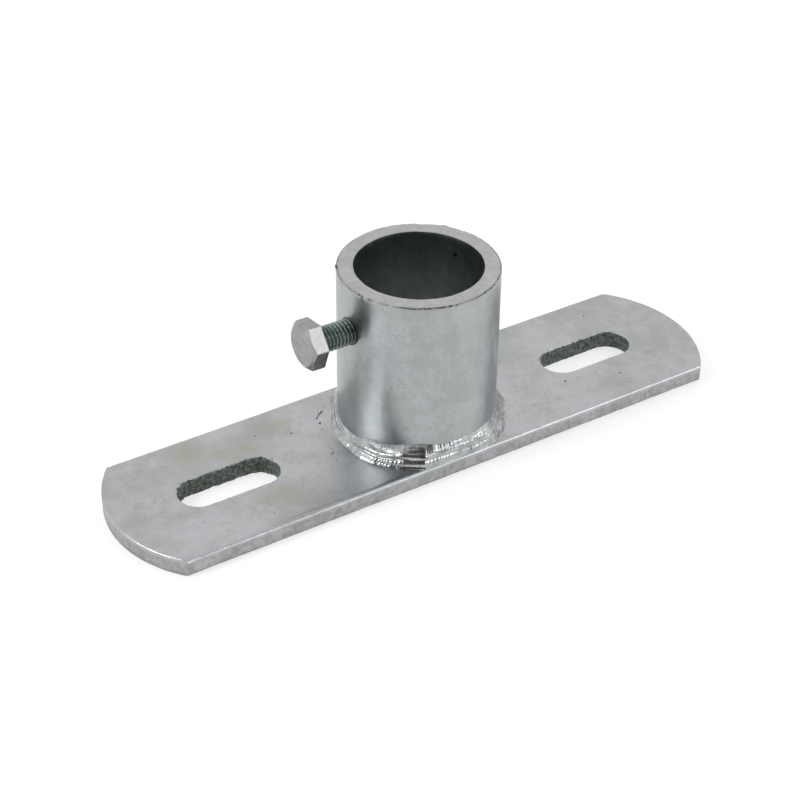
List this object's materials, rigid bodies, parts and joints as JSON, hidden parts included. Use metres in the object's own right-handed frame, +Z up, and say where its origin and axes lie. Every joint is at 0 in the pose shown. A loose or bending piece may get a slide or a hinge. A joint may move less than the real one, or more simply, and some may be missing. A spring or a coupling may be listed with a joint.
{
  "type": "tube clamp base flange",
  "caption": "Slotted flat-bar base flange with a short welded tube socket and a hexagon head side bolt that clamps the tube put into it.",
  "frame": {"origin": "centre of the foot's underside, on the axis of the tube socket", "axes": "+X along the foot, away from the clamp bolt; +Z up along the tube socket"},
  "size_m": [0.254, 0.065, 0.0735],
  "materials": {
    "galvanised_bar": "zinc-coated hot-rolled bar, dull and mottled",
    "galvanised_tube": "zinc-coated tube, soft sheen",
    "galvanised_weld": "zinc-coated weld bead, bright and rippled",
    "zinc_plated_bolt": "bright zinc plate"
  },
  "bodies": {
    "flange": {"base_plate": "galvanised_bar", "socket_tube": "galvanised_tube", "weld_bead": "galvanised_weld"},
    "bolt": {"clamp_bolt": "zinc_plated_bolt"}
  },
  "joints": [
    {"name": "bolt_travel", "type": "slide", "parent": "flange", "child": "bolt", "axis": [1, 0, 0], "range_m": [-0.0045, 0.012]}
  ]
}
